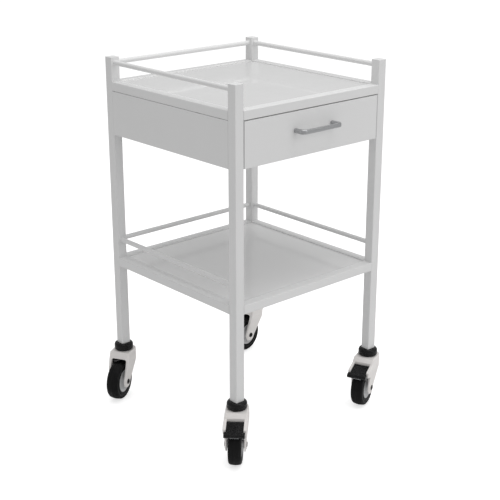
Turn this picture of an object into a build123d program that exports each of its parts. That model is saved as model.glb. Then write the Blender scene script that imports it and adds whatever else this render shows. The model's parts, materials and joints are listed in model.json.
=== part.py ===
from build123d import *
import os
from math import acos, atan2, cos, hypot, sin

# Rolling salon trolley: square-tube frame, two shelves with guard rails, one drawer, four swivel casters.
# Millimetres. +Z is up, z = 0 is the floor, x = y = 0 is the centre of the legs, and the drawer faces -Y.

# ---- Driving dimensions -------------------------------------------------------------------------------
WIDTH = 480.0
DEPTH = 480.0
HEIGHT = 900.0
TUBE = 25.0
TUBE_WALL = 1.5
TUBE_CORNER = 2.0
SHEET = 1.2

SHELF_TUBE = 22.0
UPPER_TOP = 841.0
LOWER_TOP = 387.0
LEG_BOTTOM = 142.0
CAP_PLATE = 1.5

RAIL_RADIUS = 6.0
RAIL_WALL = 1.2
RAIL_RISE = {"upper": 45.0, "lower": 47.0}

SHELF_RECESS = 2.0
SHELF_FLANGE = 18.0
SHELF_BEND = 2.4

HOUSING_BOTTOM = 710.0
HOUSING_GAP = 0.6
HOUSING_RETURN = 14.0

FRONT_SIDE_GAP = 2.0
FRONT_TOP_GAP = 2.0
FRONT_DEPTH = 14.0
FRONT_LIP = 20.0

SLIDE_LENGTH = 450.0
SLIDE_Z = 760.0
SLIDE_THICKNESS = 12.7
SLIDE_SHEET = 1.2
SLIDE_HALF_HEIGHT = 22.5
SLIDE_PLAY = 0.3
SLIDE_FIXED_DEPTH = 9.5
SLIDE_INNER_DEPTH = 7.0
SLIDE_MIDDLE_SETBACK = 3.4
SLIDE_MIDDLE_LENGTH = 430.0

SCREW_RADIUS = 2.0
SCREW_CLEARANCE = 0.02
SCREW_HEAD_RADIUS = 3.6
SCREW_HEAD_HEIGHT = 1.7
SCREW_SOCKET_RADIUS = 1.3
SCREW_SOCKET_DEPTH = 0.8
SCREW_GRIP = 5.0
LEG_SCREW_GRIP = 8.0
HANDLE_SCREW_GRIP = 24.0

BOX_LENGTH = 400.0
BOX_BOTTOM = 716.0
BOX_TOP = 802.0
BOX_SCREW_SETBACK = (60.0, 300.0)
FRONT_SCREW_X = 150.0
FRONT_SCREW_INSET = 6.0

HANDLE_CENTRES = 118.0
HANDLE_Z = 773.0
HANDLE_REACH = 32.0
HANDLE_HEIGHT = 10.0
HANDLE_BAR = 8.0
HANDLE_FOOT = 10.0
HANDLE_OUTER_BEND = 12.0
HANDLE_INNER_BEND = 6.0
HANDLE_ROUNDING = 2.2
HANDLE_HOLE_RADIUS = 2.2
HANDLE_HOLE_DEPTH = 11.0

WHEEL_RADIUS = 50.0
TREAD_WIDTH = 32.0
TREAD_DROP = 3.0
TYRE_INNER = 30.0
TYRE_SHOULDER = 6.0
WHEEL_SIDE_PLAY = 0.4
TRAIL = 35.0
FORK_REAR = -27.0
FORK_KNEE = 115.0
FORK_TOP = 127.0
FORK_TOP_HALF = 27.0
FORK_WIDE_HALF = 29.0
FORK_END_HALF = 24.5
FORK_GAP_HALF = 21.0
FORK_BRIDGE = 109.0
FORK_BOSS = 17.5
WEB_INSET = 0.6
WEB_WALL = 3.0
WEB_START = 2.0
WEB_END = 36.0
FORK_GAP_BEND = 6.0
FORK_CORNER_BEND = 3.0
FORK_ROUNDING = 2.8
FORK_HEAD_BEND = 20.0
CHEEK_WINDOW = 37.0
BOSS_PAD = 11.0
BOSS_PAD_OUT = 26.0
CAP_SEAT_RADIUS = 7.2
CAP_SEAT = 24.4
CAP_RADIUS = 6.5
CAP_HEIGHT = 3.0
AXLE_RADIUS = 5.0
AXLE_SOCKET_RADIUS = 3.0
AXLE_SOCKET_DEPTH = 2.0
EDGE_ROUNDING = 0.8
RUNNING = 0.05
SEATED = 0.02

STEM_RADIUS = 6.0
STEM_TOP = 178.0
STEM_HEAD_RADIUS = 10.0
STEM_HEAD_BOTTOM = 110.2
STEM_HEAD_TOP = 115.2
STEM_HEAD_ROOM = 1.0
STEM_HEAD_PLAY = 0.3
BEARING_RADIUS = 18.0
BEARING_BOTTOM = 120.6
BEARING_SEAT = 120.3
COLLAR_RADIUS = 24.5
COLLAR_BOTTOM = 127.6
COLLAR_TOP = 147.0
COLLAR_SHOULDER = 7.0
COLLAR_FOOT = 4.0
COLLAR_POCKET_PLAY = 0.4
INSERT_LENGTH = 40.0

PEDAL_PIN = (42.0, 107.5)
PEDAL_PIN_RADIUS = 2.5
PEDAL_PIN_HALF = 23.5
PEDAL_KNUCKLE = 4.0
PEDAL_HALF = 20.4
PEDAL_TILT = 16.0
PLATE_HALF = 11.0
LIP_HALF = 25.0
LIP_ROUNDING = 1.8

# The direction that each wheel trails in, in degrees from +X.
TRAIL_ANGLE = {
    "front_left": 224.0,
    "front_right": 203.0,
    "back_left": 209.0,
    "back_right": 188.0,
}

# ---- Derived places -----------------------------------------------------------------------------------
POST_X = (WIDTH - TUBE) / 2
POST_Y = (DEPTH - TUBE) / 2
INNER_X = POST_X - TUBE / 2
INNER_Y = POST_Y - TUBE / 2
OUTER_X = WIDTH / 2
OUTER_Y = DEPTH / 2
UPPER_BOTTOM = UPPER_TOP - SHELF_TUBE
SHEET_Y = OUTER_Y - FRONT_DEPTH
BOX_HALF = INNER_X - SLIDE_THICKNESS
SLIDE_SCREW_Y = (SLIDE_LENGTH / 2 + INNER_Y) / 2
SCREW_HOLE = SCREW_RADIUS + SCREW_CLEARANCE
BOX_SCREW_Y = tuple(setback - SHEET_Y for setback in BOX_SCREW_SETBACK)
FRONT_SCREW_Z = (BOX_BOTTOM + FRONT_SCREW_INSET, BOX_TOP - FRONT_SCREW_INSET)
AXLE_Z = WHEEL_RADIUS
SIDES = {"left": -1, "right": 1}
CORNERS = {
    "front_left": (-1, -1),
    "front_right": (1, -1),
    "back_left": (-1, 1),
    "back_right": (1, 1),
}
BRAKED = ("front_left", "front_right")


# ---- Helpers ------------------------------------------------------------------------------------------
def block(low, high):
    """A block from its lowest corner to its highest."""
    size = [b - a for a, b in zip(low, high)]
    middle = [(a + b) / 2 for a, b in zip(low, high)]
    return Pos(*middle) * Box(*size)


def disc(radius, low, high, x=0.0, y=0.0):
    """An upright cylinder between two heights."""
    return Pos(x, y, (low + high) / 2) * Cylinder(radius, high - low)


def rod_x(radius, low, high, y, z):
    """A cylinder along X."""
    return Pos((low + high) / 2, y, z) * Rot(0, 90, 0) * Cylinder(radius, high - low)


def rod_y(radius, low, high, x, z):
    """A cylinder along Y."""
    return Pos(x, (low + high) / 2, z) * Rot(90, 0, 0) * Cylinder(radius, high - low)


def upright(outline, low, high):
    """An outline in plan, extruded from one height to another."""
    return Pos(0, 0, low) * extrude(outline, high - low)


def box_tube(size_x, size_y, length):
    """A rectangular tube standing on the origin."""
    outer = RectangleRounded(size_x, size_y, TUBE_CORNER)
    inner = RectangleRounded(size_x - 2 * TUBE_WALL, size_y - 2 * TUBE_WALL, TUBE_CORNER - TUBE_WALL)
    return extrude(outer - inner, length)


def turned(points):
    """A solid turned about Z from its half outline of (radius, z) points."""
    outline = Plane.XZ * make_face(Polyline(*points, close=True))
    return revolve(outline, Axis.Z)


def group(solids):
    """Separate solids kept in one node."""
    return Compound(children=list(solids))


def node(name, shape):
    """Writes one sub-part."""
    export_step(shape, f"parts/{name}.step")


# ---- Frame --------------------------------------------------------------------------------------------
def leg(side_x, side_y):
    """One upright tube, with a screw hole in the face that carries a drawer slide."""
    tube = box_tube(TUBE, TUBE, HEIGHT - CAP_PLATE - LEG_BOTTOM)
    tube = Pos(side_x * POST_X, side_y * POST_Y, LEG_BOTTOM) * tube
    face = side_x * INNER_X
    hole = rod_x(SCREW_HOLE, face - 2 * TUBE_WALL, face + 2 * TUBE_WALL, side_y * SLIDE_SCREW_Y, SLIDE_Z)
    return tube - hole


def leg_caps():
    """The flat plates welded on the tops of the legs."""
    plate = upright(RectangleRounded(TUBE, TUBE, TUBE_CORNER), HEIGHT - CAP_PLATE, HEIGHT)
    plate = fillet(plate.faces().sort_by(Axis.Z)[-1].edges(), EDGE_ROUNDING)
    return group(Pos(x * POST_X, y * POST_Y, 0) * plate for x, y in CORNERS.values())


def cross_tube_x(side_y, top):
    """A frame tube from left to right between two legs."""
    lying = Rot(0, 90, 0) * box_tube(SHELF_TUBE, TUBE, 2 * INNER_X)
    return Pos(-INNER_X, side_y * POST_Y, top - SHELF_TUBE / 2) * lying


def cross_tube_y(side_x, top):
    """A frame tube from front to back between two legs."""
    lying = Rot(-90, 0, 0) * box_tube(TUBE, SHELF_TUBE, 2 * INNER_Y)
    return Pos(side_x * POST_X, -INNER_Y, top - SHELF_TUBE / 2) * lying


def rail_back(height):
    """The round guard rail along the back."""
    outer = rod_x(RAIL_RADIUS, -INNER_X, INNER_X, POST_Y, height)
    return outer - rod_x(RAIL_RADIUS - RAIL_WALL, -INNER_X, INNER_X, POST_Y, height)


def rail_side(side_x, height):
    """The round guard rail along one side."""
    outer = rod_y(RAIL_RADIUS, -INNER_Y, INNER_Y, side_x * POST_X, height)
    return outer - rod_y(RAIL_RADIUS - RAIL_WALL, -INNER_Y, INNER_Y, side_x * POST_X, height)


def shelf(frame_top):
    """A sheet inside the frame tubes, with its four edges folded down against them."""
    top = frame_top - SHELF_RECESS
    low = top - SHELF_FLANGE
    outer = block((-INNER_X, -INNER_Y, low), (INNER_X, INNER_Y, top))
    outer = fillet(outer.faces().sort_by(Axis.Z)[-1].edges(), SHELF_BEND)
    x, y = INNER_X - SHEET, INNER_Y - SHEET
    inner = block((-x, -y, low - 1), (x, y, top - SHEET))
    inner = fillet(inner.faces().sort_by(Axis.Z)[-1].edges(), SHELF_BEND - SHEET)
    return outer - inner


def tray_panel(length, low, high, depth, lip):
    """A folded sheet with its face on y = 0, facing -Y, its returns running back and lips above and below."""
    half = length / 2
    outer = block((-half, 0, low), (half, depth, high))
    outer = fillet(outer.faces().sort_by(Axis.Y)[0].edges(), 1.0)
    inner = block((-half + SHEET, SHEET, low + SHEET), (half - SHEET, depth - SHEET, high - SHEET))
    mouth = block((-half + SHEET, SHEET, low + lip), (half - SHEET, depth + 1, high - lip))
    return outer - inner - mouth


def housing_panel(angle, reach, length):
    """One closed side of the drawer housing, flush with the legs' outer faces."""
    panel = tray_panel(length, HOUSING_BOTTOM, UPPER_BOTTOM - HOUSING_GAP, HOUSING_RETURN, SHEET)
    return Rot(0, 0, angle) * Pos(0, -reach, 0) * panel


# ---- Drawer slides ------------------------------------------------------------------------------------
def channel(web, depth, half_height, low_y, high_y, opens):
    """A channel along Y. web is the web's face nearer the leg, measured inwards from it, and opens is +1
    where the flanges point towards the drawer."""
    far = web + SLIDE_SHEET
    flange_low, flange_high = (web, web + depth) if opens > 0 else (far - depth, far)
    shape = block((web, low_y, -half_height), (far, high_y, half_height))
    for side in (-1, 1):
        inside, outside = sorted((side * (half_height - SLIDE_SHEET), side * half_height))
        shape += block((flange_low, low_y, inside), (flange_high, high_y, outside))
    return shape


def on_leg(side_x, shape):
    """Places a slide part, drawn inwards from the leg's face, on one side of the drawer."""
    if side_x > 0:
        shape = mirror(shape, Plane.YZ)
    return Pos(side_x * INNER_X, 0, SLIDE_Z) * shape


def slide_fixed():
    """The member that is screwed to the legs."""
    end = SLIDE_LENGTH / 2
    member = channel(0, SLIDE_FIXED_DEPTH, SLIDE_HALF_HEIGHT, -end, end, 1)
    for y in (-SLIDE_SCREW_Y, SLIDE_SCREW_Y):
        member -= rod_x(SCREW_HOLE, -SLIDE_SHEET, 2 * SLIDE_SHEET, y, 0)
    return member


def slide_middle():
    """The member between, which runs in the fixed one."""
    front = -SLIDE_LENGTH / 2
    half = SLIDE_HALF_HEIGHT - SLIDE_SHEET - SLIDE_PLAY
    return channel(SLIDE_MIDDLE_SETBACK, SLIDE_INNER_DEPTH, half, front, front + SLIDE_MIDDLE_LENGTH, 1)


def slide_drawer():
    """The member that is screwed to the drawer's side, which runs in the middle one."""
    front = -SLIDE_LENGTH / 2
    half = SLIDE_HALF_HEIGHT - 2 * (SLIDE_SHEET + SLIDE_PLAY)
    web = SLIDE_THICKNESS - SLIDE_SHEET
    member = channel(web, SLIDE_INNER_DEPTH, half, front, front + BOX_LENGTH, -1)
    for y in BOX_SCREW_Y:
        member -= rod_x(SCREW_HOLE, web - SLIDE_SHEET, web + 2 * SLIDE_SHEET, y, 0)
    return member


def flat_screw(length):
    """A low-headed screw along +X, with the head's underside on x = 0."""
    head = rod_x(SCREW_HEAD_RADIUS, -SCREW_HEAD_HEIGHT, 0, 0, 0)
    socket_end = SCREW_SOCKET_DEPTH - SCREW_HEAD_HEIGHT
    head -= rod_x(SCREW_SOCKET_RADIUS, -2 * SCREW_HEAD_HEIGHT, socket_end, 0, 0)
    return head + rod_x(SCREW_RADIUS, 0, length, 0, 0)


def slide_screws():
    """The screws that hold the fixed members to the legs."""
    made = []
    for side_x in SIDES.values():
        for y in (-SLIDE_SCREW_Y, SLIDE_SCREW_Y):
            screw = Pos(SLIDE_SHEET, y, 0) * Rot(0, 0, 180) * flat_screw(LEG_SCREW_GRIP)
            made.append(on_leg(side_x, screw))
    return group(made)


# ---- Drawer -------------------------------------------------------------------------------------------
def front_plate_holes(radius, low_y, high_y):
    """Holes along Y for the screws that tie the drawer's front to its box."""
    return [rod_y(radius, low_y, high_y, side * FRONT_SCREW_X, z) for side in (-1, 1) for z in FRONT_SCREW_Z]


def handle_holes(low_y, high_y):
    """Holes along Y for the handle's screws."""
    return [
        rod_y(HANDLE_HOLE_RADIUS, low_y, high_y, side * HANDLE_CENTRES / 2, HANDLE_Z)
        for side in (-1, 1)
    ]


def drawer_front():
    """The folded front plate, flush with the legs, with holes for the handle and the box's screws."""
    length = 2 * (INNER_X - FRONT_SIDE_GAP)
    panel = tray_panel(length, HOUSING_BOTTOM, UPPER_BOTTOM - FRONT_TOP_GAP, FRONT_DEPTH, FRONT_LIP)
    panel = Pos(0, -OUTER_Y, 0) * panel
    panel -= handle_holes(-OUTER_Y - SHEET, -OUTER_Y + 2 * SHEET)
    return panel - front_plate_holes(SCREW_HOLE, -SHEET_Y - 2 * SHEET, -SHEET_Y + SHEET)


def drawer_base():
    """The flat bottom of the drawer's box."""
    front = -SHEET_Y
    return block((-BOX_HALF, front, BOX_BOTTOM), (BOX_HALF, front + BOX_LENGTH, BOX_BOTTOM + SHEET))


def drawer_walls():
    """The four walls of the drawer's box, welded to each other and to the base."""
    front, back = -SHEET_Y, -SHEET_Y + BOX_LENGTH
    low = BOX_BOTTOM + SHEET
    inside = BOX_HALF - SHEET
    front_wall = block((-inside, front, low), (inside, front + SHEET, BOX_TOP))
    front_wall -= handle_holes(front - SHEET, front + 2 * SHEET)
    front_wall -= front_plate_holes(SCREW_HOLE, front - SHEET, front + 2 * SHEET)
    back_wall = block((-inside, back - SHEET, low), (inside, back, BOX_TOP))
    made = [front_wall, back_wall]
    for side in (-1, 1):
        near, far = sorted((side * inside, side * BOX_HALF))
        wall = block((near, front, low), (far, back, BOX_TOP))
        for y in BOX_SCREW_Y:
            wall -= rod_x(SCREW_HOLE, near - SHEET, far + SHEET, y, SLIDE_Z)
        made.append(wall)
    return group(made)


def drawer_handle():
    """A bow handle with rounded corners and a tapped hole in each foot."""
    half = (HANDLE_CENTRES + HANDLE_FOOT) / 2
    face = -OUTER_Y
    reach = face - HANDLE_REACH
    outer = block((-half, reach, 0), (half, face, HANDLE_HEIGHT))
    bends = outer.edges().filter_by(Axis.Z).sort_by(Axis.Y)[:2]
    outer = fillet(bends, HANDLE_OUTER_BEND)
    gap = half - HANDLE_FOOT
    inner = block((-gap, reach + HANDLE_BAR, -1), (gap, face + HANDLE_REACH, HANDLE_HEIGHT + 1))
    bends = inner.edges().filter_by(Axis.Z).sort_by(Axis.Y)[:2]
    inner = fillet(bends, HANDLE_INNER_BEND)
    bow = outer - inner
    rims = bow.edges().filter_by(Axis.Z, reverse=True).filter_by(lambda e: e.center().Y < face - 0.5)
    bow = fillet(rims, HANDLE_ROUNDING)
    bow = Pos(0, 0, HANDLE_Z - HANDLE_HEIGHT / 2) * bow
    for side in (-1, 1):
        x = side * HANDLE_CENTRES / 2
        bow -= rod_y(SCREW_RADIUS + SEATED, face - HANDLE_HOLE_DEPTH, face + 1, x, HANDLE_Z)
    return bow


def drawer_screws():
    """The handle's long screws, the front's four and the slide members' four."""
    made = []
    seat = -SHEET_Y + SHEET
    for side_x in SIDES.values():
        handle_screw = Rot(0, 0, -90) * flat_screw(HANDLE_SCREW_GRIP)
        made.append(Pos(side_x * HANDLE_CENTRES / 2, seat, HANDLE_Z) * handle_screw)
        for z in FRONT_SCREW_Z:
            made.append(Pos(side_x * FRONT_SCREW_X, seat, z) * Rot(0, 0, -90) * flat_screw(SCREW_GRIP))
        for y in BOX_SCREW_Y:
            screw = Pos(SLIDE_THICKNESS - SLIDE_SHEET, y, 0) * flat_screw(SCREW_GRIP)
            made.append(on_leg(side_x, screw))
    return group(made)


# ---- Casters, drawn with the swivel axis on Z and the wheel trailing along +X --------------------------
def tangent_point(x, z, side):
    """Where a line from (x, z) touches the round end of a fork arm. side is +1 or -1."""
    away = hypot(x - TRAIL, z - AXLE_Z)
    turn = atan2(z - AXLE_Z, x - TRAIL) + side * acos(FORK_BOSS / away)
    return (TRAIL + FORK_BOSS * cos(turn), AXLE_Z + FORK_BOSS * sin(turn))


def fork_side(braked):
    """The fork's outline from the side. A braked fork reaches forward in a cheek beside the pedal."""
    rear_top, rear_knee = (FORK_REAR, FORK_TOP), (FORK_REAR, FORK_KNEE)
    rear_touch = tangent_point(*rear_knee, 1)
    if braked:
        under_cheek = [(48.0, 84.0)]
        cheek_end = [(67.0, 90.0), (68.0, 104.0)]
        head = [(38.5, 114.5), (30.0, FORK_TOP)]
        front = under_cheek + cheek_end + head
    else:
        front = [(33.0, 106.0), (29.0, FORK_TOP)]
    front_touch = tangent_point(*front[0], -1)
    corners = [rear_top, rear_knee, rear_touch, (TRAIL, AXLE_Z), front_touch, *front]
    outline = make_face(Polyline(*corners, close=True)) + Pos(TRAIL, AXLE_Z) * Circle(FORK_BOSS)
    soft = [v for v in outline.vertices() if FORK_TOP - 1 > v.Y > 80]
    return fillet(soft, FORK_CORNER_BEND)


def fork_front():
    """The fork's outline from the front, widest at the knees."""
    right = [
        (FORK_END_HALF, 0),
        (FORK_END_HALF, AXLE_Z),
        (FORK_WIDE_HALF, FORK_BRIDGE - 5),
        (FORK_TOP_HALF, FORK_TOP),
    ]
    left = [(-y, z) for y, z in reversed(right)]
    outline = make_face(Polyline(*right, *left, close=True))
    knees = [v for v in outline.vertices() if AXLE_Z - 1 < v.Y < FORK_TOP - 1]
    return fillet(knees, FORK_HEAD_BEND)


def fork_gap():
    """The room for the wheel between the fork's arms."""
    gap = block((-60, -FORK_GAP_HALF, -10), (120, FORK_GAP_HALF, FORK_BRIDGE))
    return fillet(gap.faces().sort_by(Axis.Z)[-1].edges().filter_by(Axis.X), FORK_GAP_BEND)


def fork_web():
    """The wall that closes the fork above and behind the wheel, just inside its sloping rear edge."""
    knee = Vector(FORK_REAR, FORK_KNEE)
    down = (Vector(*tangent_point(FORK_REAR, FORK_KNEE, 1)) - knee).normalized()
    inward = Vector(-down.Y, down.X)
    outside, inside = WEB_INSET, WEB_INSET + WEB_WALL
    places = [(WEB_START, outside), (WEB_END, outside), (WEB_END, inside), (WEB_START, inside)]
    corners = [knee + down * along + inward * depth for along, depth in places]
    outline = make_face(Polyline(*[(corner.X, corner.Y) for corner in corners], close=True))
    return extrude(Plane.XZ * outline, FORK_GAP_HALF + 1, both=True)


def fork(braked):
    """A moulded fork: what its side, front and plan outlines share, less the wheel's gap and the bores."""
    side = extrude(Plane.XZ * fork_side(braked), 2 * FORK_WIDE_HALF, both=True)
    front = extrude(Plane.YZ * fork_front(), 120, both=True)
    plan = block((FORK_REAR, -FORK_WIDE_HALF, 0), (90, FORK_WIDE_HALF, FORK_TOP))
    plan = fillet(plan.edges().filter_by(Axis.Z).sort_by(Axis.X)[:2], FORK_HEAD_BEND)
    shape = side & front & plan
    rims = [e for e in shape.edges() if abs(e.center().Y) > FORK_GAP_HALF and e.length > 4]
    shape = fillet(rims, FORK_ROUNDING)
    shape -= fork_gap()
    shape += fork_web()
    if braked:
        shape -= block((CHEEK_WINDOW, -FORK_GAP_HALF, 80), (90, FORK_GAP_HALF, 140))
    for way in (-1, 1):
        low, high = sorted((way * FORK_GAP_HALF, way * BOSS_PAD_OUT))
        shape += rod_y(BOSS_PAD, low, high, TRAIL, AXLE_Z)
    for way in (-1, 1):
        low, high = sorted((way * CAP_SEAT, way * (CAP_SEAT + CAP_HEIGHT)))
        shape -= rod_y(CAP_SEAT_RADIUS, low, high, TRAIL, AXLE_Z)
    shape -= rod_y(AXLE_RADIUS + SEATED, -FORK_WIDE_HALF, FORK_WIDE_HALF, TRAIL, AXLE_Z)
    shape -= disc(STEM_RADIUS + RUNNING, FORK_BRIDGE - 5, FORK_TOP + 1)
    shape -= disc(BEARING_RADIUS + RUNNING, BEARING_SEAT, FORK_TOP + 1)
    shape -= disc(STEM_HEAD_RADIUS + STEM_HEAD_ROOM, FORK_BRIDGE - 5, STEM_HEAD_TOP + STEM_HEAD_PLAY)
    if braked:
        pin_x, pin_z = PEDAL_PIN
        bore_half = PEDAL_PIN_HALF + 0.5
        shape -= rod_y(PEDAL_PIN_RADIUS + RUNNING, -bore_half, bore_half, pin_x, pin_z)
    return shape


def axle():
    """The wheel's bolt and its cap nut, held in the fork."""
    cap_out = CAP_SEAT + CAP_HEIGHT
    rod = rod_y(AXLE_RADIUS, -CAP_SEAT, CAP_SEAT, TRAIL, AXLE_Z)
    head = rod_y(CAP_RADIUS, CAP_SEAT, cap_out, TRAIL, AXLE_Z)
    head = fillet(head.faces().sort_by(Axis.Y)[-1].edges(), EDGE_ROUNDING)
    socket = extrude(RegularPolygon(AXLE_SOCKET_RADIUS, 6), CAP_HEIGHT)
    socket = Pos(TRAIL, cap_out - AXLE_SOCKET_DEPTH, AXLE_Z) * Rot(-90, 0, 0) * socket
    nut = rod_y(CAP_RADIUS, -cap_out, -CAP_SEAT, TRAIL, AXLE_Z)
    nut = fillet(nut.faces().sort_by(Axis.Y)[0].edges(), EDGE_ROUNDING)
    return rod + (head - socket) + nut


def wheel_spin(shape):
    """Stands a turned wheel part, drawn about Z, on its axle."""
    return Pos(TRAIL, 0, AXLE_Z) * Rot(90, 0, 0) * shape


def tyre():
    """The tyre, with a crowned tread and rounded shoulders."""
    half = TREAD_WIDTH / 2
    shoulder = WHEEL_RADIUS - TREAD_DROP
    outline = make_face(
        Line((TYRE_INNER, -half), (shoulder, -half))
        + ThreePointArc((shoulder, -half), (WHEEL_RADIUS, 0), (shoulder, half))
        + Line((shoulder, half), (TYRE_INNER, half))
        + Line((TYRE_INNER, half), (TYRE_INNER, -half))
    )
    corners = [v for v in outline.vertices() if v.X > TYRE_INNER + 1]
    outline = fillet(corners, TYRE_SHOULDER)
    return wheel_spin(revolve(Plane.XZ * outline, Axis.Z))


def wheel_core():
    """The wheel's centre: rim, dished discs and the boss that runs on the axle."""
    bore = AXLE_RADIUS + RUNNING
    half = [
        (bore, 0),
        (bore, FORK_GAP_HALF - WHEEL_SIDE_PLAY),
        (9.5, FORK_GAP_HALF - WHEEL_SIDE_PLAY),
        (10.5, 15.5),
        (14.0, 12.0),
        (24.0, 12.0),
        (27.0, 15.0),
        (TYRE_INNER, 15.0),
        (TYRE_INNER, 0),
    ]
    upper = turned(half)
    return wheel_spin(upper + mirror(upper, Plane.XY))


def caster_stem():
    """The bolt that ties the caster to the leg, its head under the fork's bridge."""
    shaft = disc(STEM_RADIUS, STEM_HEAD_TOP, STEM_TOP)
    head = disc(STEM_HEAD_RADIUS, STEM_HEAD_BOTTOM, STEM_HEAD_TOP)
    return shaft + fillet(head.faces().sort_by(Axis.Z)[0].edges(), EDGE_ROUNDING)


def swivel_bearing():
    """The bearing that the fork's head turns on, held under the collar."""
    ring = disc(BEARING_RADIUS, BEARING_BOTTOM, COLLAR_BOTTOM)
    return ring - disc(STEM_RADIUS + SEATED, BEARING_BOTTOM - 1, COLLAR_BOTTOM + 1)


def caster_collar():
    """The round cover on top of the fork, with a square pocket for the leg's end."""
    body = disc(COLLAR_RADIUS, COLLAR_BOTTOM, COLLAR_TOP)
    body = fillet(body.faces().sort_by(Axis.Z)[-1].edges(), COLLAR_SHOULDER)
    body = fillet(body.faces().sort_by(Axis.Z)[0].edges(), COLLAR_FOOT)
    pocket = TUBE + COLLAR_POCKET_PLAY
    body -= upright(RectangleRounded(pocket, pocket, TUBE_CORNER), LEG_BOTTOM, COLLAR_TOP + 1)
    return body - disc(STEM_RADIUS + SEATED, COLLAR_BOTTOM - 1, COLLAR_TOP + 1)


def leg_insert():
    """The threaded plug in the leg's end."""
    side = TUBE - 2 * TUBE_WALL - 2 * SEATED
    top = LEG_BOTTOM + INSERT_LENGTH
    plug = upright(RectangleRounded(side, side, TUBE_CORNER - TUBE_WALL), LEG_BOTTOM, top)
    return plug - disc(STEM_RADIUS + SEATED, LEG_BOTTOM - 1, top + 1)


def along_pedal(points):
    """Turns outline points, drawn back along the pedal from its pin, down by the pedal's tilt."""
    pin_x, pin_z = PEDAL_PIN
    return Pos(pin_x, pin_z) * Rot(0, 0, -PEDAL_TILT) * make_face(Polyline(*points, close=True))


def brake_plate():
    """A bent steel strip under the pedal, whose tab bears on the tyre."""
    strip = [(6, -1.2), (41, -1.2), (41, -9), (39.6, -9), (39.6, -2.6), (6, -2.6)]
    return extrude(Plane.XZ * along_pedal(strip), PLATE_HALF, both=True)


def brake_pedal():
    """A moulded pedal with stub pins in the fork's cheeks and a thick lip for the foot."""
    pin_x, pin_z = PEDAL_PIN
    platform = along_pedal([(0, -2.5), (0, 3.0), (34, 3.0), (34, -1.2), (6, -1.2)])
    platform += Pos(pin_x, pin_z) * Circle(PEDAL_KNUCKLE)
    arm = extrude(Plane.XZ * platform, PEDAL_HALF, both=True)
    lip_outline = along_pedal([(32.5, 4.4), (43.0, 4.4), (45.5, 1), (44, -6), (36, -6), (32.5, -2)])
    lip_outline = fillet(lip_outline.vertices(), LIP_ROUNDING)
    lip = extrude(Plane.XZ * lip_outline, LIP_HALF, both=True)
    pins = rod_y(PEDAL_PIN_RADIUS, -PEDAL_PIN_HALF, PEDAL_PIN_HALF, pin_x, pin_z)
    return arm + lip + pins - brake_plate()


def on_corner(corner, shape):
    """Places a caster part under one leg, trailing as the caster stands."""
    side_x, side_y = CORNERS[corner]
    return Pos(side_x * POST_X, side_y * POST_Y, 0) * Rot(0, 0, TRAIL_ANGLE[corner]) * shape


def under_legs(shape):
    """The same fixed part under each leg."""
    return group(Pos(x * POST_X, y * POST_Y, 0) * shape for x, y in CORNERS.values())


# ---- Write the sub-parts ------------------------------------------------------------------------------
def write_frame():
    for corner, (side_x, side_y) in CORNERS.items():
        node(f"leg_{corner}", leg(side_x, side_y))
    node("leg_caps", leg_caps())
    for level, top in (("upper", UPPER_TOP), ("lower", LOWER_TOP)):
        node(f"{level}_tube_front", cross_tube_x(-1, top))
        node(f"{level}_tube_back", cross_tube_x(1, top))
        node(f"{level}_rail_back", rail_back(top + RAIL_RISE[level]))
        for side, side_x in SIDES.items():
            node(f"{level}_tube_{side}", cross_tube_y(side_x, top))
            node(f"{level}_rail_{side}", rail_side(side_x, top + RAIL_RISE[level]))
    node("top_shelf", shelf(UPPER_TOP))
    node("lower_shelf", shelf(LOWER_TOP))
    node("side_panel_left", housing_panel(-90, OUTER_X, 2 * INNER_Y))
    node("side_panel_right", housing_panel(90, OUTER_X, 2 * INNER_Y))
    node("back_panel", housing_panel(180, OUTER_Y, 2 * INNER_X))


def write_drawer():
    for side, side_x in SIDES.items():
        node(f"slide_fixed_{side}", on_leg(side_x, slide_fixed()))
        node(f"slide_middle_{side}", on_leg(side_x, slide_middle()))
        node(f"slide_drawer_{side}", on_leg(side_x, slide_drawer()))
    node("slide_screws", slide_screws())
    node("drawer_front", drawer_front())
    node("drawer_base", drawer_base())
    node("drawer_walls", drawer_walls())
    node("drawer_handle", drawer_handle())
    node("drawer_screws", drawer_screws())


def write_casters():
    node("leg_inserts", under_legs(leg_insert()))
    node("caster_stems", under_legs(caster_stem()))
    node("caster_collars", under_legs(caster_collar()))
    node("swivel_bearings", under_legs(swivel_bearing()))
    for corner in CORNERS:
        braked = corner in BRAKED
        node(f"fork_{corner}", on_corner(corner, fork(braked)))
        node(f"axle_{corner}", on_corner(corner, axle()))
        node(f"tyre_{corner}", on_corner(corner, tyre()))
        node(f"wheel_core_{corner}", on_corner(corner, wheel_core()))
        if braked:
            node(f"brake_pedal_{corner}", on_corner(corner, brake_pedal()))
            node(f"brake_plate_{corner}", on_corner(corner, brake_plate()))


os.makedirs("parts", exist_ok=True)
write_frame()
write_drawer()
write_casters()
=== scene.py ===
import json
import math

import bmesh
import bpy
from mathutils import Matrix, Vector


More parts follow.
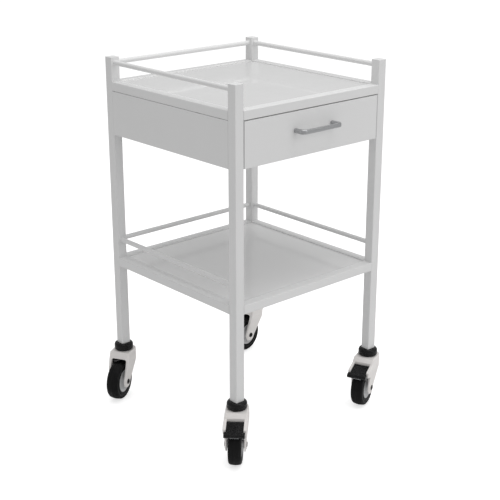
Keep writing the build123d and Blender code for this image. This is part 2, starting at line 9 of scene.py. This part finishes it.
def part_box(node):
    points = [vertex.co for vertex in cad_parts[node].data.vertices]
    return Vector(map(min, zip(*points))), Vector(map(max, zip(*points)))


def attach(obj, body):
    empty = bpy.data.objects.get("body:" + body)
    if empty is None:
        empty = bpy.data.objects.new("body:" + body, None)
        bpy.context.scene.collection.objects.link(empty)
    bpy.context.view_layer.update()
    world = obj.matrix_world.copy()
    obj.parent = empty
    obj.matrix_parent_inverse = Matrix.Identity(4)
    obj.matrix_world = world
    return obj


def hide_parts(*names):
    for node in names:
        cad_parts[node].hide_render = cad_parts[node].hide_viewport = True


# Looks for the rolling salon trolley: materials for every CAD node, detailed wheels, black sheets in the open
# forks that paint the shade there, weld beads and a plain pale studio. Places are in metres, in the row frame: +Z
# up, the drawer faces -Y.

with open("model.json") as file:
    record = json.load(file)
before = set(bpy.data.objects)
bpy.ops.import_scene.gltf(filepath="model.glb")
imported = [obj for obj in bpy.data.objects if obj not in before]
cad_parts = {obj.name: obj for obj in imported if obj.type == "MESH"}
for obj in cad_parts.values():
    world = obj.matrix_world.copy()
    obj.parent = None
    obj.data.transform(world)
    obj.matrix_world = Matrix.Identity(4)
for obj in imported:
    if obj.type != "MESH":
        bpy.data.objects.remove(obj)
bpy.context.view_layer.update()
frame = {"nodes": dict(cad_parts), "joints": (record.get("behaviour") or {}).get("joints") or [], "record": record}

# ---- Camera and studio values --------------------------------------------------------------------------
CAMERA_PLACE = (-1.788, -2.019, 1.364)
CAMERA_YAW = math.radians(41.8)
CAMERA_PITCH = math.radians(19.5)
CAMERA_LENS = 80.7
SENSOR = 36.0

WHITE_LIGHT = (1.0, 1.0, 1.0, 1.0)
AMBIENT = 0.53
FLOOR_HALF = 14.0
FLOOR_GLOW = 0.62

# Each light: place, target, side and watts.
LIGHTS = {
    "overhead": ((0.3, -0.2, 3.2), (0.0, 0.0, 0.6), 2.4, 37),
    "front": ((1.2, -3.2, 1.9), (0.0, 0.0, 0.5), 2.2, 16),
}

JOINTS = {joint["name"]: joint for joint in frame["joints"]}
CORNERS = ("front_left", "front_right", "back_left", "back_right")
OPEN_CASTERS = ("back_left", "back_right")


# ---- Material helpers ----------------------------------------------------------------------------------
class Graph:
    """A material's node tree, with short calls for the nodes that these materials use."""

    def __init__(self, name, base, roughness, metallic=0.0, **sockets):
        self.material = bpy.data.materials.new(name)
        self.material.use_nodes = True
        self.tree = self.material.node_tree
        self.shader = self.tree.nodes["Principled BSDF"]
        self.set("Base Color", (*base, 1.0))
        self.set("Roughness", roughness)
        self.set("Metallic", metallic)
        for socket, value in sockets.items():
            self.set(socket.replace("_", " "), value)
        self.place = self.tree.nodes.new("ShaderNodeTexCoord").outputs["Object"]

    def set(self, socket, value):
        self.shader.inputs[socket].default_value = value

    def link(self, output, socket):
        self.tree.links.new(output, self.shader.inputs[socket])

    def stretched(self, scale):
        """The place, scaled by a different amount along each axis."""
        node = self.tree.nodes.new("ShaderNodeMapping")
        node.inputs["Scale"].default_value = scale
        self.tree.links.new(self.place, node.inputs["Vector"])
        return node.outputs["Vector"]

    def noise(self, scale, detail=2.0, vector=None):
        node = self.tree.nodes.new("ShaderNodeTexNoise")
        node.inputs["Scale"].default_value = scale
        node.inputs["Detail"].default_value = detail
        self.tree.links.new(vector or self.place, node.inputs["Vector"])
        return node.outputs["Fac"]

    def ranged(self, value, low, high):
        """A noise value spread from low to high."""
        node = self.tree.nodes.new("ShaderNodeMapRange")
        node.inputs["From Min"].default_value = 0.3
        node.inputs["From Max"].default_value = 0.7
        node.inputs["To Min"].default_value = low
        node.inputs["To Max"].default_value = high
        self.tree.links.new(value, node.inputs["Value"])
        return node.outputs["Result"]

    def blend(self, value, first, second):
        """A colour between two, chosen by a noise value."""
        node = self.tree.nodes.new("ShaderNodeMix")
        node.data_type = "RGBA"
        node.inputs["A"].default_value = (*first, 1.0)
        node.inputs["B"].default_value = (*second, 1.0)
        self.tree.links.new(self.ranged(value, 0.0, 1.0), node.inputs["Factor"])
        return node.outputs["Result"]

    def bump(self, *layers):
        """Stacks bump layers, each (height, strength, distance)."""
        normal = None
        for height, strength, distance in layers:
            node = self.tree.nodes.new("ShaderNodeBump")
            node.inputs["Strength"].default_value = strength
            node.inputs["Distance"].default_value = distance
            self.tree.links.new(height, node.inputs["Height"])
            if normal:
                self.tree.links.new(normal, node.inputs["Normal"])
            normal = node.outputs["Normal"]
        self.link(normal, "Normal")


def shade(colour, amount):
    """A colour made a little darker or lighter."""
    return tuple(min(1.0, channel * amount) for channel in colour)


# ---- Materials -----------------------------------------------------------------------------------------
def powder_coat(name, base, roughness, coat):
    """White powder coat: a very fine orange peel, and a gloss that varies a little from place to place."""
    g = Graph(name, base, roughness, Coat_Weight=coat, Coat_Roughness=0.03)
    g.link(g.blend(g.noise(5.0, 3.0), shade(base, 0.985), shade(base, 1.01)), "Base Color")
    g.link(g.ranged(g.noise(14.0, 4.0), roughness - 0.03, roughness + 0.04), "Roughness")
    g.bump((g.noise(130.0, 1.0), 0.03, 0.0002))
    return g.material


def plated_steel():
    """Zinc-plated steel with fine drawn lines along the runners."""
    base = (0.60, 0.61, 0.63)
    g = Graph("zinc_plate", base, 0.33, metallic=1.0)
    lines = g.noise(1.0, 3.0, g.stretched((1800.0, 12.0, 1800.0)))
    g.link(g.ranged(lines, 0.26, 0.42), "Roughness")
    g.link(g.blend(g.noise(60.0, 3.0), shade(base, 0.92), shade(base, 1.05)), "Base Color")
    g.bump((lines, 0.08, 0.0002))
    return g.material


def satin_handle():
    """Satin nickel, brushed along the bar."""
    base = (0.46, 0.465, 0.475)
    g = Graph("satin_nickel", base, 0.28, metallic=1.0)
    lines = g.noise(1.0, 4.0, g.stretched((25.0, 2600.0, 2600.0)))
    g.link(g.ranged(lines, 0.20, 0.36), "Roughness")
    g.link(g.blend(lines, shade(base, 0.93), shade(base, 1.06)), "Base Color")
    g.bump((lines, 0.10, 0.00015))
    return g.material


def moulded(name, base, roughness, grain, variation=0.05, specular=0.5):
    """Moulded plastic with a fine grain."""
    g = Graph(name, base, roughness, Specular_IOR_Level=specular)
    g.link(g.blend(g.noise(45.0, 3.0), shade(base, 1 - variation), shade(base, 1 + variation)), "Base Color")
    g.link(g.ranged(g.noise(220.0, 3.0), roughness - 0.05, roughness + 0.07), "Roughness")
    g.bump((g.noise(2200.0, 2.0), grain, 0.0002), (g.noise(90.0, 2.0), 0.04, 0.0006))
    return g.material


def tyre_rubber():
    """Black moulded rubber, a little dusty."""
    g = Graph("tyre_rubber", (0.004, 0.004, 0.0045), 0.42, Specular_IOR_Level=0.14)
    g.link(g.blend(g.noise(30.0, 5.0), (0.003, 0.003, 0.0035), (0.007, 0.007, 0.007)), "Base Color")
    g.link(g.ranged(g.noise(75.0, 4.0), 0.34, 0.52), "Roughness")
    g.bump((g.noise(1500.0, 3.0), 0.12, 0.0002))
    return g.material


WHITE = (0.80, 0.80, 0.80)
MATERIALS = {
    "white_coat": powder_coat("white_powder_coat", WHITE, 0.34, 0.0),
    "zinc_steel": plated_steel(),
    "satin_metal": satin_handle(),
    "black_plastic": moulded("black_plastic", (0.0035, 0.0035, 0.004), 0.24, 0.02, 0.2, 0.26),
    "fork_plastic": moulded("fork_nylon", (0.91, 0.88, 0.86), 0.36, 0.03, 0.02),
    "tyre_rubber": tyre_rubber(),
    "hub_plastic": moulded("hub_plastic", (0.60, 0.605, 0.61), 0.42, 0.04, 0.03),
}
GLOSS_WHITE = powder_coat("glossy_powder_coat", WHITE, 0.20, 1.0)
GLOSSY_NODES = ("top_shelf", "lower_shelf")


def dress(piece, slot):
    """Gives a piece the one material of its slot."""
    piece.data.materials.clear()
    piece.data.materials.append(MATERIALS[slot])


for entry in frame["record"]["subparts"]:
    dress(frame["nodes"][entry["node"]], entry["material_slot"])
for name in GLOSSY_NODES:
    frame["nodes"][name].data.materials[0] = GLOSS_WHITE


# ---- Mesh helpers --------------------------------------------------------------------------------------
def add_piece(name, mesh_data, place, body, slot, sharp=35.0):
    """Makes a closed, smooth-shaded piece that rides on a body."""
    mesh = bpy.data.meshes.new(name)
    mesh_data.transform(place)
    bmesh.ops.recalc_face_normals(mesh_data, faces=mesh_data.faces)
    mesh_data.to_mesh(mesh)
    mesh_data.free()
    mesh.shade_smooth()
    mesh.set_sharp_from_angle(angle=math.radians(sharp))
    piece = bpy.data.objects.new(name, mesh)
    bpy.context.scene.collection.objects.link(piece)
    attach(piece, body)
    dress(piece, slot)
    return piece


def add_ring(data, section, steps, radius_of=None):
    """Adds a closed section of (radius, along) points, turned about +Z. radius_of varies it by angle."""
    rows = []
    for step in range(steps):
        angle = 2 * math.pi * step / steps
        row = []
        for radius, along in section:
            if radius_of:
                radius, along = radius_of(radius, along, angle)
            row.append(data.verts.new((radius * math.cos(angle), radius * math.sin(angle), along)))
        rows.append(row)
    count = len(section)
    for step in range(steps):
        near, far = rows[step], rows[(step + 1) % steps]
        for i in range(count):
            j = (i + 1) % count
            data.faces.new((near[i], near[j], far[j], far[i]))
    return [vert for row in rows for vert in row]


def add_prism(data, outline, low, high):
    """Adds a closed prism of (x, z) outline points, from low to high along Y."""
    near = [data.verts.new((x, low, z)) for x, z in outline]
    far = [data.verts.new((x, high, z)) for x, z in outline]
    data.faces.new(near)
    data.faces.new(list(reversed(far)))
    for i in range(len(outline)):
        j = (i + 1) % len(outline)
        data.faces.new((near[j], near[i], far[i], far[j]))
    return near + far


def arc(centre, radius, start, end, steps):
    """Points on an arc, angles in degrees."""
    turns = [math.radians(start + (end - start) * i / steps) for i in range(steps + 1)]
    return [(centre[0] + radius * math.cos(t), centre[1] + radius * math.sin(t)) for t in turns]


# ---- Wheels, with sections in (radius, along the axle) millimetres -------------------------------------
MM = 0.001
WHEEL_STEPS = 120
TREAD_HALF = [(49.98, 0.0), (49.98, 0.2), (49.74, 0.45), (49.62, 3.0), (49.36, 6.0), (49.0, 8.6)]
SHOULDER = arc((42.67, 10.0), 5.95, 20.0, 90.0, 8)
SIDEWALL_GROOVE = [(40.6, 15.95), (40.2, 15.55), (39.2, 15.5), (38.8, 15.9)]
TYRE_EDGE = [(32.2, 15.95), (31.2, 15.8), (30.1, 15.0)]
TYRE_HALF = TREAD_HALF + SHOULDER + SIDEWALL_GROOVE + TYRE_EDGE
TYRE_SHARP = 50.0
CORE_HALF = [
    (30.0, 14.4), (29.6, 14.95), (27.4, 14.98), (26.6, 14.6), (24.5, 12.5), (23.6, 12.05), (14.6, 12.05),
    (13.6, 12.4), (10.9, 15.2), (10.4, 15.9), (9.7, 19.9), (9.0, 20.55), (6.0, 20.55), (5.1, 20.0),
]
SPIN_TO_AXLE = Matrix.Rotation(math.pi / 2, 4, "X")


def metres(points):
    """Points in millimetres, as metres."""
    return [(a * MM, b * MM) for a, b in points]


def mirrored(half):
    """A closed section from its half: the other half runs back with the second value negated."""
    back = [(a, -b) for a, b in reversed(half) if b > 0]
    return half + back


def caster_place(corner):
    """Places a caster's parts, drawn in metres with the swivel axis on Z and the wheel trailing along +X."""
    swivel = Vector(JOINTS["swivel_" + corner]["pos_m"])
    trail = Vector(JOINTS["spin_" + corner]["pos_m"]) - swivel
    turn = math.atan2(trail.y, trail.x)
    return Matrix.Translation((swivel.x, swivel.y, 0.0)) @ Matrix.Rotation(turn, 4, "Z")


def wheel_place(corner):
    """Places a turned part, drawn about Z, on its axle."""
    axle = Vector(JOINTS["spin_" + corner]["pos_m"])
    return Matrix.Translation(axle) @ caster_place(corner).to_3x3().to_4x4() @ SPIN_TO_AXLE


def make_tyre(corner):
    """A tyre with a parting line, a rounded shoulder and a groove in its sidewall."""
    data = bmesh.new()
    add_ring(data, metres(mirrored(TYRE_HALF)), WHEEL_STEPS)
    place, body = wheel_place(corner), "wheel_" + corner
    tyre = add_piece("tyre_detail_" + corner, data, place, body, "tyre_rubber", TYRE_SHARP)
    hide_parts("tyre_" + corner)


def make_core(corner):
    """A wheel core with a dished face and softened edges."""
    data = bmesh.new()
    add_ring(data, metres(mirrored(CORE_HALF)), WHEEL_STEPS)
    place, body = wheel_place(corner), "wheel_" + corner
    core = add_piece("core_detail_" + corner, data, place, body, "hub_plastic")
    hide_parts("wheel_core_" + corner)


for corner in CORNERS:
    make_tyre(corner)
    make_core(corner)


# ---- Black sheets that paint the shade inside the open forks, in millimetres ---------------------------
ARM_FACE = 20.95
ARCH_TOP = 108.95
ARCH_BEND = 5.95
ARCH_FOOT = 90.0
SHADE_SHEET_DEPTH = 0.7
ARCH_ENDS = (-11.0, 28.0)
VISOR_FOOT = 101.5
VISOR_ENDS = (26.5, 28.0)
REAR_STRIP = [(-18.8, 108.9), (-4.9, 87.0), (-4.2, 87.4), (-17.4, 108.2)]
REAR_HALF = 20.9
BEND_STEPS = 8


def arch_line(foot, inset):
    """The gap's arch as (across, z) points, from one foot over to the other, set in from its faces."""
    centre = (ARM_FACE - ARCH_BEND, ARCH_TOP - ARCH_BEND)
    half = [(ARM_FACE - inset, foot)] + arc(centre, ARCH_BEND - inset, 0.0, 90.0, BEND_STEPS)
    return half + [(-y, z) for y, z in reversed(half)]


def make_painted_shade(corner):
    """Black sheets that paint the shade above an open caster's wheel: an arch, a visor at its front and a strip
    behind.
    """
    arch = arch_line(ARCH_FOOT, 0.0) + arch_line(ARCH_FOOT, SHADE_SHEET_DEPTH)[::-1]
    shade_sheet = bmesh.new()
    verts = add_prism(shade_sheet, metres(arch), ARCH_ENDS[0] * MM, ARCH_ENDS[1] * MM)
    visor = arch_line(VISOR_FOOT, 0.0)
    verts += add_prism(shade_sheet, metres(visor), VISOR_ENDS[0] * MM, VISOR_ENDS[1] * MM)
    bmesh.ops.rotate(shade_sheet, verts=verts, matrix=Matrix.Rotation(-math.pi / 2, 3, "Z"))
    add_prism(shade_sheet, metres(REAR_STRIP), -REAR_HALF * MM, REAR_HALF * MM)
    # Painted shade: these black pieces darken the fork's window where there is only shade.
    add_piece("fork_painted_shade_" + corner, shade_sheet, caster_place(corner), "caster_" + corner, "black_plastic")


# Painted shade inside the two open forks.
for corner in OPEN_CASTERS:
    make_painted_shade(corner)


# ---- Weld beads ----------------------------------------------------------------------------------------
LEVELS = ("upper", "lower")
BEAD = 0.0013
BEAD_ROOT = 0.0004
BEAD_SWELL = 0.10
BEAD_RIPPLES = 14
BEAD_SHARP = 60.0
RING_STEPS = 56
BEAD_STEPS = 44
BEAD_END_ROOM = 0.0022
BEAD_STEP_TURN = 1.9
BEAD_END = 0.25


def ripple(radius, along, angle):
    """Lets a ring's bead swell and thin a little as it goes round."""
    swell = 1 + BEAD_SWELL * math.sin(BEAD_RIPPLES * angle)
    return radius + (swell - 1) * BEAD, along * swell


def long_side(size):
    """0 when the piece runs along X, 1 when it runs along Y."""
    return 0 if size.x > size.y else 1


def rail_rings(data, node):
    """A weld ring where each end of a rail meets its leg."""
    low, high = (Vector(end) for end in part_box(node))
    size = high - low
    along = long_side(size)
    radius = size.z / 2
    section = [(radius - BEAD_ROOT, 0.0), (radius + BEAD, 0.0), (radius + 0.7 * BEAD, 0.0006)]
    section += [(radius + 0.3 * BEAD, 0.0011), (radius - BEAD_ROOT, BEAD)]
    for end, sign in ((low, 1), (high, -1)):
        place = (low + high) / 2
        place[along] = end[along]
        heading = Vector((0, 0, 0))
        heading[along] = sign
        turn = heading.to_track_quat("Z", "Y").to_matrix()
        ring = add_ring(data, section, RING_STEPS, ripple)
        bmesh.ops.rotate(data, verts=ring, matrix=turn)
        bmesh.ops.translate(data, verts=ring, vec=place)


def bead_section(step):
    """A bead's section at one step, (out from the leg, up from the tube's underside). Its ends fade."""
    fade = min(1.0, 4.0 * min(step, BEAD_STEPS - step) / BEAD_STEPS + BEAD_END)
    reach = BEAD * fade * (1 + BEAD_SWELL * math.sin(BEAD_STEP_TURN * step))
    edge = [(reach, BEAD_ROOT), (0.75 * reach, -0.35 * reach), (0.35 * reach, -0.75 * reach)]
    return [(-BEAD_ROOT, BEAD_ROOT), *edge, (-BEAD_ROOT, -reach)]


def add_strip(data, rows):
    """Joins rows of section points into one closed strip."""
    count = len(rows[0])
    for near, far in zip(rows, rows[1:]):
        for i in range(count):
            j = (i + 1) % count
            data.faces.new((near[i], near[j], far[j], far[i]))
    data.faces.new(rows[0])
    data.faces.new(list(reversed(rows[-1])))


def tube_beads(data, node):
    """A bead under each end of a cross tube, along the leg's face."""
    low, high = (Vector(end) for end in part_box(node))
    size = high - low
    along = long_side(size)
    across = 1 - along
    half = size[across] / 2 - BEAD_END_ROOM
    for end, sign in ((low[along], 1), (high[along], -1)):
        rows = []
        for step in range(BEAD_STEPS + 1):
            point = Vector((0, 0, low.z))
            point[across] = (low[across] + high[across]) / 2 - half + 2 * half * step / BEAD_STEPS
            row = []
            for out, up in bead_section(step):
                point[along] = end + sign * out
                point.z = low.z + up
                row.append(data.verts.new(point))
            rows.append(row)
        add_strip(data, rows)


welds = bmesh.new()
for level in LEVELS:
    for side in ("left", "back", "right"):
        rail_rings(welds, f"{level}_rail_{side}")
    for side in ("front", "left", "back", "right"):
        tube_beads(welds, f"{level}_tube_{side}")
add_piece("weld_beads", welds, Matrix.Identity(4), "frame", "white_coat", BEAD_SHARP)


# ---- Studio --------------------------------------------------------------------------------------------
def seen_and_light(tree, seen, light):
    """Mixes two shaders: the first is what the camera sees directly, the second is what gives light."""
    mix = tree.nodes.new("ShaderNodeMixShader")
    path = tree.nodes.new("ShaderNodeLightPath")
    tree.links.new(path.outputs["Is Camera Ray"], mix.inputs["Fac"])
    tree.links.new(light, mix.inputs[1])
    tree.links.new(seen, mix.inputs[2])
    return mix.outputs["Shader"]


def background(tree, colour, strength):
    node = tree.nodes.new("ShaderNodeBackground")
    node.inputs["Color"].default_value = colour
    node.inputs["Strength"].default_value = strength
    return node.outputs["Background"]


def make_world():
    """A white backdrop, softer as light."""
    world = bpy.data.worlds.new("studio")
    bpy.context.scene.world = world
    world.use_nodes = True
    tree = world.node_tree
    shown = seen_and_light(tree, background(tree, WHITE_LIGHT, 1.0), background(tree, WHITE_LIGHT, AMBIENT))
    tree.links.new(shown, tree.nodes["World Output"].inputs["Surface"])


def make_floor():
    """A pale floor, lit so that it meets the white backdrop without a line."""
    mesh = bpy.data.meshes.new("floor")
    corners = [(-FLOOR_HALF, -FLOOR_HALF, 0), (FLOOR_HALF, -FLOOR_HALF, 0)]
    corners += [(-x, -y, 0) for x, y, _ in corners]
    mesh.from_pydata(corners, [], [(0, 1, 2, 3)])
    floor = bpy.data.objects.new("floor", mesh)
    bpy.context.scene.collection.objects.link(floor)
    g = Graph("pale_floor", (0.85, 0.85, 0.85), 0.8)
    g.set("Specular IOR Level", 0.0)
    tree = g.tree
    glow = tree.nodes.new("ShaderNodeEmission")
    glow.inputs["Strength"].default_value = FLOOR_GLOW
    lit = tree.nodes.new("ShaderNodeAddShader")
    tree.links.new(g.shader.outputs["BSDF"], lit.inputs[0])
    tree.links.new(glow.outputs["Emission"], lit.inputs[1])
    shown = seen_and_light(tree, lit.outputs["Shader"], g.shader.outputs["BSDF"])
    tree.links.new(shown, tree.nodes["Material Output"].inputs["Surface"])
    floor.data.materials.append(g.material)


def area_light(name, place, target, side, watts):
    """A square area light that faces its target."""
    data = bpy.data.lights.new(name, "AREA")
    data.shape = "SQUARE"
    data.size = side
    data.energy = watts
    light = bpy.data.objects.new(name, data)
    bpy.context.scene.collection.objects.link(light)
    light.location = place
    light.rotation_euler = (Vector(target) - Vector(place)).to_track_quat("-Z", "Y").to_euler()


def make_camera():
    data = bpy.data.cameras.new("camera")
    data.lens, data.sensor_width = CAMERA_LENS, SENSOR
    camera = bpy.data.objects.new("camera", data)
    bpy.context.scene.collection.objects.link(camera)
    camera.location = CAMERA_PLACE
    camera.rotation_euler = (math.pi / 2 - CAMERA_PITCH, 0.0, -CAMERA_YAW)
    bpy.context.scene.camera = camera


make_world()
make_floor()
make_camera()
for name, light in LIGHTS.items():
    area_light(name, *light)
bpy.context.scene.view_settings.view_transform = "Standard"
